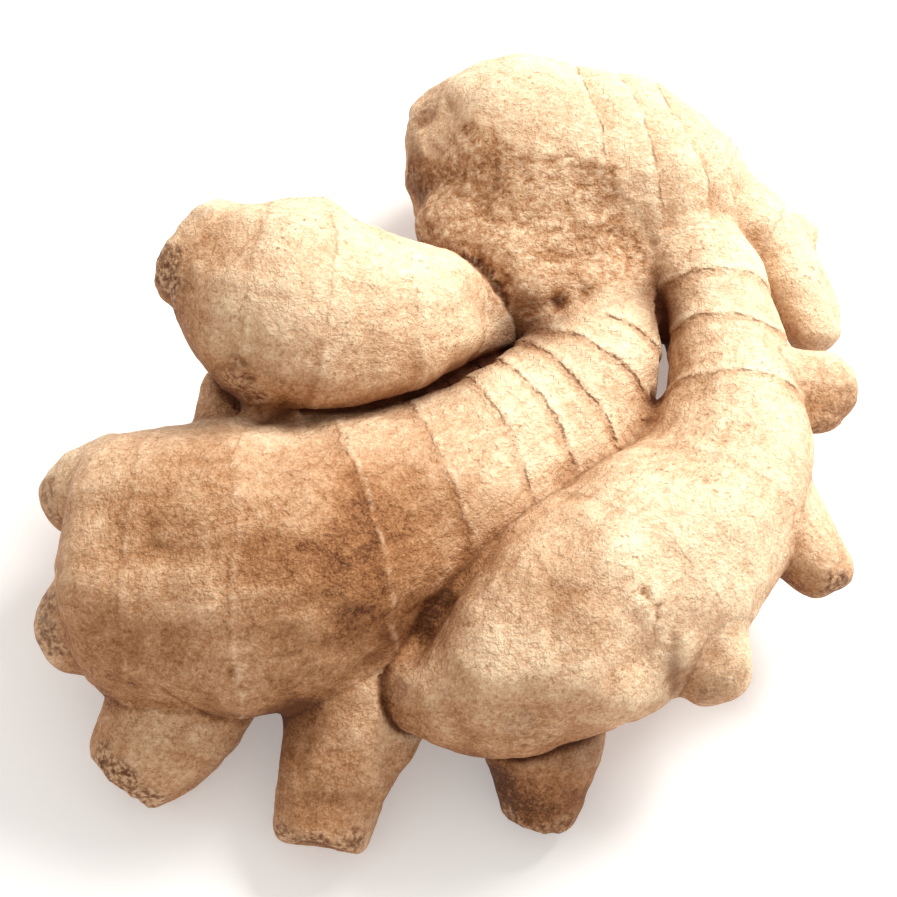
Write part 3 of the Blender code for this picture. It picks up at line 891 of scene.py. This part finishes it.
wrinkles = layered(grain * ALONG_BRANCH, WRINKLES)
fibrous = layered(points @ ALONG_KNOB, FIBRES)
crumble = 0.5 * np.abs(noise(points, 1.6, 20)) + 0.5 * noise(points, 2.8, 21)
relief = (slow_lumps() + ring_edge() + wrinkles + layered(points, UNEVEN) + mark_height
          + CORK_HEIGHT * crumble * tip_mask + FIBRE_HEIGHT * fibrous * patch_mask
          + PATCH_EDGE * rim(patch_mask) - GROOVE_DEPTH * groove)
points = points + normals * relief[:, None]
print("relief, mm:", np.round([relief.min(), relief.max()], 2))

# %% [markdown]
# The finished skin goes into one mesh at the origin, in metres, and is kept from
# dipping below the table: the solid is trimmed level there, so the skin is pressed
# flat there too. Moving the object would do for the picture, but with its place in the
# mesh the textures stay where they are.

# %% The finished piece
points = points - MIDDLE
points[:, 2] = np.maximum(points[:, 2], 0.0)
skin_mesh.vertices.foreach_set("co", (points * MM).ravel())
skin_mesh.update()
skin_mesh.name = "ginger skin"
skin = bpy.data.objects.new("ginger_skin", skin_mesh)
bpy.context.scene.collection.objects.link(skin)
skin_mesh.polygons.foreach_set("use_smooth", np.ones(len(skin_mesh.polygons), bool))
print("triangles:", sum(len(face.vertices) - 2 for face in skin_mesh.polygons))
print("skin size, mm:", np.round(points.max(axis=0) - points.min(axis=0), 1))

# %% [markdown]
# The fields that the colours need are stored on the vertices, one number each. A painted
# picture would need the skin cut open and laid flat; this way has no seams. Some are
# measured only now, on the finished skin: how much it faces the key lamp, which gives
# painted light and shade, and how hollow it is, over a short and over a long distance,
# which gives painted shade in the folds.

# %% Fields for the colours
# The side the key lamp shines from: skin facing it is painted lighter and skin turned away darker,
# as painted light and shade.
PAINTED_LIGHT_DIRECTION = unit(np.array([0.45, 0.40, 0.80]))
FULL_FINE, FULL_BROAD = 0.20, 1.2
normals = mesh_rows(skin_mesh, "normal")
# Painted shade: the colours darken where these hollows are deep and lighten on the crests.
fine_hollow = hollow_depth(points, normals, FINE_PASSES)
broad_hollow = hollow_depth(points, normals, BROAD_PASSES)
FIELDS = {
    "ring_past": np.clip(ring_past, -RING_REACH, RING_REACH),
    "ring_line": ring_line,
    "ring_tone": ring_tone,
    "tip_mask": tip_mask,
    "patch_mask": patch_mask,
    "weather": weather,
    "dark_mark": mark_dark,
    "groove": groove,
    "gloom": gloom,
    "facing": normals @ PAINTED_LIGHT_DIRECTION,
    "fine_hollow": np.clip(fine_hollow / FULL_FINE, -1.0, 1.0),
    "broad_hollow": np.clip(broad_hollow / FULL_BROAD, -1.0, 1.0),
}
for name, values in FIELDS.items():
    field = skin_mesh.attributes.new(name, "FLOAT", "POINT")
    field.data.foreach_set("value", values.astype(np.float32))
grain_field = skin_mesh.attributes.new("grain", "FLOAT_VECTOR", "POINT")
grain_field.data.foreach_set("vector", grain.astype(np.float32).ravel())
print("fields:", len(FIELDS), "and the grain")
print("fine hollow, mm:", np.round(np.percentile(fine_hollow, [2, 50, 98]), 3),
      "broad:", np.round(np.percentile(broad_hollow, [2, 50, 98]), 3))

# %% [markdown]
# The material reads those fields. Short helpers keep the node tree readable, as a list
# of what is mixed into what. Each docstring gives what its node works out.

# %% Material helpers


class Paint:
    """A small node tree writer: a call adds a node or a few and gives back the output."""

    def __init__(self, name):
        self.material = bpy.data.materials.new(name)
        self.material.use_nodes = True
        self.tree = self.material.node_tree
        self.shader = self.tree.nodes["Principled BSDF"]

    def node(self, kind, **settings):
        """A new node of one kind, with its settings."""
        made = self.tree.nodes.new(kind)
        for key, value in settings.items():
            setattr(made, key, value)
        return made

    def join(self, value, socket):
        """A link if the value is another node's output, else the plain value."""
        if isinstance(value, bpy.types.NodeSocket):
            self.tree.links.new(value, socket)
        else:
            socket.default_value = value

    def field(self, name, vector=False):
        """One of the fields stored on the vertices."""
        made = self.node("ShaderNodeAttribute", attribute_name=name)
        return made.outputs["Vector" if vector else "Fac"]

    def math(self, how, a, b=0.0, clamp=False):
        """One step of arithmetic on two values, held from nought to one if clamped."""
        made = self.node("ShaderNodeMath", operation=how, use_clamp=clamp)
        self.join(a, made.inputs[0])
        self.join(b, made.inputs[1])
        return made.outputs[0]

    def plus(self, a, b):
        """a + b."""
        return self.math("ADD", a, b)

    def times(self, a, b, clamp=False):
        """a x b."""
        return self.math("MULTIPLY", a, b, clamp)

    def off(self, value, middle):
        """How far the value is from a middle, either way: |value - middle|."""
        return self.math("ABSOLUTE", self.math("SUBTRACT", value, middle))

    def total(self, *pairs):
        """Sum of value x weight over all the pairs."""
        result = None
        for value, weight in pairs:
            term = self.times(value, weight)
            result = term if result is None else self.plus(result, term)
        return result

    def span(self, value, low, high, to_low=0.0, to_high=1.0):
        """The straight line from to_low at low to to_high at high, held at both ends."""
        made = self.node("ShaderNodeMapRange")
        for socket, number in zip(made.inputs, (value, low, high, to_low, to_high)):
            self.join(number, socket)
        return made.outputs[0]

    def mix(self, factor, a, b):
        """Colour a x (1 - factor) + colour b x factor."""
        made = self.node("ShaderNodeMix", data_type="RGBA")
        self.join(factor, made.inputs[0])
        self.join(a, made.inputs[6])
        self.join(b, made.inputs[7])
        return made.outputs[2]

    def ramp(self, value, stops):
        """Straight blends between the stops, each a place from 0 to 1 and a colour."""
        made = self.node("ShaderNodeValToRGB")
        self.join(value, made.inputs[0])
        band = made.color_ramp
        for at, (place, colour) in enumerate(stops):
            stop = band.elements[at] if at < 2 else band.elements.new(place)
            stop.position = place
            stop.color = colour
        return made.outputs[0]

    def stretched(self, place, scale):
        """place x scale, axis by axis: a small scale makes a texture long that way."""
        made = self.node("ShaderNodeMapping")
        made.inputs["Scale"].default_value = scale
        self.join(place, made.inputs["Vector"])
        return made.outputs[0]

    def noise(self, place, scale, detail=3.0, rough=0.55):
        """Cloudy noise about 0.5, with scale blobs to a unit of place."""
        made = self.node("ShaderNodeTexNoise")
        self.join(place, made.inputs["Vector"])
        made.inputs["Scale"].default_value = scale
        made.inputs["Detail"].default_value = detail
        made.inputs["Roughness"].default_value = rough
        return made.outputs["Fac"]


print("paint calls:", sum(not name.startswith("_") for name in vars(Paint)))

# %% [markdown]
# The skin's colours run from a red brown, through peach, to cream. The tone paints the
# sides that face the lamp cream and the undersides and folds red brown: painted light
# and shade. These are its colours: two ramps from dark to light, and single colours for
# what lies over them. A ramp needs only one number to choose from it, and never gives a
# colour off the skin.

# %% Colours
TONES = [
    (0.00, (0.120, 0.042, 0.016, 1.0)), (0.14, (0.280, 0.115, 0.042, 1.0)),
    (0.33, (0.450, 0.222, 0.102, 1.0)), (0.57, (0.660, 0.415, 0.250, 1.0)),
    (0.79, (0.850, 0.640, 0.430, 1.0)), (1.00, (0.930, 0.815, 0.590, 1.0)),
]
CORK = [
    (0.38, (0.120, 0.042, 0.016, 1.0)), (0.49, (0.330, 0.160, 0.078, 1.0)),
    (0.60, (0.640, 0.400, 0.235, 1.0)),
]
LINE = (0.260, 0.105, 0.045, 1.0)
FLECK = (0.380, 0.180, 0.085, 1.0)
PIT = (0.190, 0.070, 0.028, 1.0)
# PALE is the colour of the patch's pale curls, and also of the painted highlight before the rings.
PALE = (0.930, 0.760, 0.560, 1.0)
# The next two are painted shade: a brown for the forks and beside the grooves, and a near black
# for the grooves.
SHADE_BROWN = (0.150, 0.048, 0.015, 1.0)
DEEP = (0.075, 0.018, 0.005, 1.0)
print("ramps:", len(TONES), "skin tones,", len(CORK), "cork tones")

# %% [markdown]
# Noise in four sizes, from 14 mm down to 0.4 mm, makes the mottling. The fibres are
# noise drawn out along each branch, and the torn skin of the patch is noise a little
# longer across the knob. Noise fills the whole space that the root lies in, so it has
# no seams and needs no picture.

# %% Textures
paint = Paint("ginger skin")
place = paint.node("ShaderNodeTexCoord").outputs["Object"]
along_branch = paint.stretched(paint.field("grain", vector=True), ALONG_BRANCH)
across_knob = paint.stretched(place, (0.7, 1.0, 1.0))
slow = paint.noise(place, 70.0, 2.0)
middle = paint.noise(place, 260.0, 4.0, 0.6)
fine = paint.noise(place, 1150.0, 3.0, 0.6)
grit = paint.noise(place, 2600.0, 2.0, 0.6)
fibres = paint.noise(along_branch, 1.5, 4.0, 0.6)
torn = paint.noise(across_knob, 900.0, 4.0, 0.7)
patch = paint.field("patch_mask")
print("nodes for textures:", len(paint.tree.nodes))

# %% [markdown]
# One number, the tone, is added up from the facing, the hollows, the rings, the listed
# places of painted shade and weathering, and the mottling. The facing, the hollows and
# the ring steps are painted light and shade: lighter towards the lamp, on crests and
# before a ring, darker underneath, in the folds and past a ring. Dark folds run where one
# more noise crosses its middle value, more in some places than in others. The ramp turns
# the tone into skin. Adding before colouring keeps every part of the skin on one scale
# from brown to cream.

# %% Tone
# Painted light and shade go into the tone: the facing, the ring step, the hollows and the listed
# shaded places.
tone = paint.total((paint.field("facing"), 0.36), (paint.field("ring_tone"), 0.10),
                   (paint.field("broad_hollow"), -0.30), (paint.field("fine_hollow"), -0.12),
                   (slow, 0.30), (middle, 0.34), (fine, 0.56), (grit, 0.60),
                   (fibres, 0.20), (patch, -0.23), (paint.field("weather"), -0.75))
torn_tone = paint.times(paint.span(torn, 0.34, 0.66, -0.22, 0.26), patch)
folds = paint.span(paint.off(paint.noise(place, 420.0, 4.0, 0.6), 0.5), 0.0, 0.07)
crumpled = paint.span(paint.noise(place, 75.0, 2.0), 0.42, 0.62, 0.01, 0.09)
tone = paint.plus(tone, torn_tone)
tone = paint.plus(tone, paint.times(folds, crumpled))
colour = paint.ramp(paint.span(tone, 0.465, 1.620), TONES)
print("nodes with the tone:", len(paint.tree.nodes))

# %% [markdown]
# A ring shows as a thin brown line just past its ridge. The line wavers by a few tenths
# of a millimetre, breaks off here and there and is dotted by the fine mottling. A pale
# band goes before it: a painted highlight on the ring's raised edge. The line is thinner
# than a face of the skin, so both are drawn from the distance to the ring, not modelled.

# %% Ring lines
waver = paint.span(paint.noise(place, 800.0, 2.0), 0.0, 1.0, -0.6, 0.6)
past = paint.plus(paint.field("ring_past"), waver)
off_line = paint.off(past, 0.55)
broken = paint.span(paint.noise(place, 330.0, 3.0), 0.42, 0.56)
dotted = paint.span(fine, 0.36, 0.52, 0.25, 1.0)
line = paint.times(paint.span(off_line, 0.08, 0.34, 1.0, 0.0), broken)
line = paint.times(line, dotted)
line = paint.times(line, paint.field("ring_line"), clamp=True)
colour = paint.mix(paint.times(line, 0.9), colour, LINE)

# A painted highlight: the pale band on the raised edge before each ring.
pale = paint.span(paint.off(past, -0.5), 0.1, 0.5, 1.0, 0.0)
pale = paint.times(pale, paint.span(paint.noise(place, 420.0, 2.0), 0.45, 0.6))
near_ring = paint.span(paint.field("ring_line"), 0.10, 0.40, 0.0, 0.28)
colour = paint.mix(paint.times(pale, near_ring), colour, PALE)
print("nodes with the ring lines:", len(paint.tree.nodes))

# %% [markdown]
# Over the tone go the pale curls of the torn patch and brown specks in clusters. Then
# come the cork of the cut ends, the pits, painted shade in the forks in a dark brown
# and, last, painted shade in the grooves in near black, each through its own field. They
# are mixed in the order in which they would come on the real root, so that a cut end
# covers the rings below it.

# %% Patch, specks and dark places
curl = paint.span(paint.noise(across_knob, 1050.0, 3.0, 0.6), 0.55, 0.66, 0.0, 0.34)
colour = paint.mix(paint.times(curl, patch), colour, PALE)

specks = paint.span(paint.noise(place, 1000.0, 2.0), 0.61, 0.68)
clusters = paint.span(paint.noise(place, 90.0, 2.0), 0.46, 0.58)
specks = paint.times(paint.times(specks, clusters), 0.7)
colour = paint.mix(specks, colour, FLECK)

flakes = paint.noise(place, 1000.0, 3.0, 0.65)
cork = paint.span(paint.field("tip_mask"), 0.05, 0.85, 0.0, 0.95)
colour = paint.mix(cork, colour, paint.ramp(flakes, CORK))
# Pits and cracks: their own dark colour, darker the deeper they are, which is partly painted
# shade.
colour = paint.mix(paint.span(paint.field("dark_mark"), 0.3, 0.9, 0.0, 0.8), colour, PIT)
# Painted shade: dark brown in the forks and beside the grooves.
colour = paint.mix(paint.times(paint.field("gloom"), 0.85), colour, SHADE_BROWN)
# Painted shade, near black, in the grooves between the fingers.
colour = paint.mix(paint.span(paint.field("groove"), 0.15, 0.6), colour, DEEP)
paint.join(colour, paint.shader.inputs["Base Color"])
print("nodes with all colours:", len(paint.tree.nodes))

# %% [markdown]
# The same textures, added up as a height, give a bump too fine for the mesh: moving the
# surface itself would take millions of faces, and a bump only turns the light. The skin
# is dry, so it is rough and hardly shines. The finished piece rides on the root's body
# and stands for the solid's node.

# %% Bump and shine
BUMP_STRENGTH = 0.8
BUMP_DEPTH = 0.40 * MM
SHINE = 0.16
rough = paint.span(fibres, 0.3, 0.7, 0.55, 0.75)
paint.join(rough, paint.shader.inputs["Roughness"])
paint.shader.inputs["Specular IOR Level"].default_value = SHINE
height = paint.total((fibres, 0.5), (fine, 0.8), (grit, 0.6), (middle, 0.9), (folds, 0.35),
                     (line, -1.0))
height = paint.plus(height, paint.times(torn, patch))
height = paint.plus(height, paint.times(cork, fine))
bump = paint.node("ShaderNodeBump")
bump.inputs["Strength"].default_value = BUMP_STRENGTH
bump.inputs["Distance"].default_value = BUMP_DEPTH
paint.join(height, bump.inputs["Height"])
paint.join(bump.outputs[0], paint.shader.inputs["Normal"])
skin_mesh.materials.append(paint.material)
print("nodes in all:", len(paint.tree.nodes), "links:", len(paint.tree.links))

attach(skin, "root")
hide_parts("ginger_root")

# %% [markdown]
# The table is a plain pale sheet with an edge far outside the picture. It is stage,
# not part of the root. The light is one soft lamp from the back right, high up, as the
# bright tops and brown fronts of the fingers ask for, with a weak warm fill all round.

# %% Table and light
TABLE_REACH = 3.0
TABLE_GREY = (0.90, 0.90, 0.90, 1.0)
TABLE_GLOW = 0.22
FILL_COLOUR = (1.0, 0.955, 0.90, 1.0)
FILL_STRENGTH = 0.74
LAMP_AIM = np.array([0.0, 0.0, 20.0]) * MM


def make_table():
    """One large square at the height the root rests on, faintly bright of itself."""
    mesh = bpy.data.meshes.new("table")
    far = TABLE_REACH
    mesh.from_pydata([(-far, -far, 0), (far, -far, 0), (far, far, 0), (-far, far, 0)], [],
                     [(0, 1, 2, 3)])
    table = bpy.data.objects.new("table", mesh)
    bpy.context.scene.collection.objects.link(table)
    paint = Paint("pale table")
    paint.shader.inputs["Base Color"].default_value = TABLE_GREY
    paint.shader.inputs["Roughness"].default_value = 0.9
    paint.shader.inputs["Emission Color"].default_value = (1.0, 1.0, 1.0, 1.0)
    paint.shader.inputs["Emission Strength"].default_value = TABLE_GLOW
    mesh.materials.append(paint.material)


def make_lamp(name, place, size, watts, colour):
    """A square lamp at a place in metres, its -Z turned from there towards the root."""
    data = bpy.data.lights.new(name, "AREA")
    data.size = size
    data.energy = watts
    data.color = colour
    lamp = bpy.data.objects.new(name, data)
    lamp.location = place
    towards = unit(LAMP_AIM - np.array(place))
    lamp.rotation_euler = (math.acos(-towards[2]), 0.0, math.atan2(-towards[0], towards[1]))
    bpy.context.scene.collection.objects.link(lamp)


make_table()
make_lamp("key lamp", (0.48, 0.52, 0.70), 0.40, 11.5, (1.0, 0.98, 0.93))

world = bpy.data.worlds.new("studio")
world.use_nodes = True
world.node_tree.nodes["Background"].inputs["Color"].default_value = FILL_COLOUR
world.node_tree.nodes["Background"].inputs["Strength"].default_value = FILL_STRENGTH
bpy.context.scene.world = world
bpy.context.scene.view_settings.view_transform = "Standard"
bpy.context.scene.view_settings.exposure = 0.0
print("lamps:", len(bpy.data.lights))

# %% [markdown]
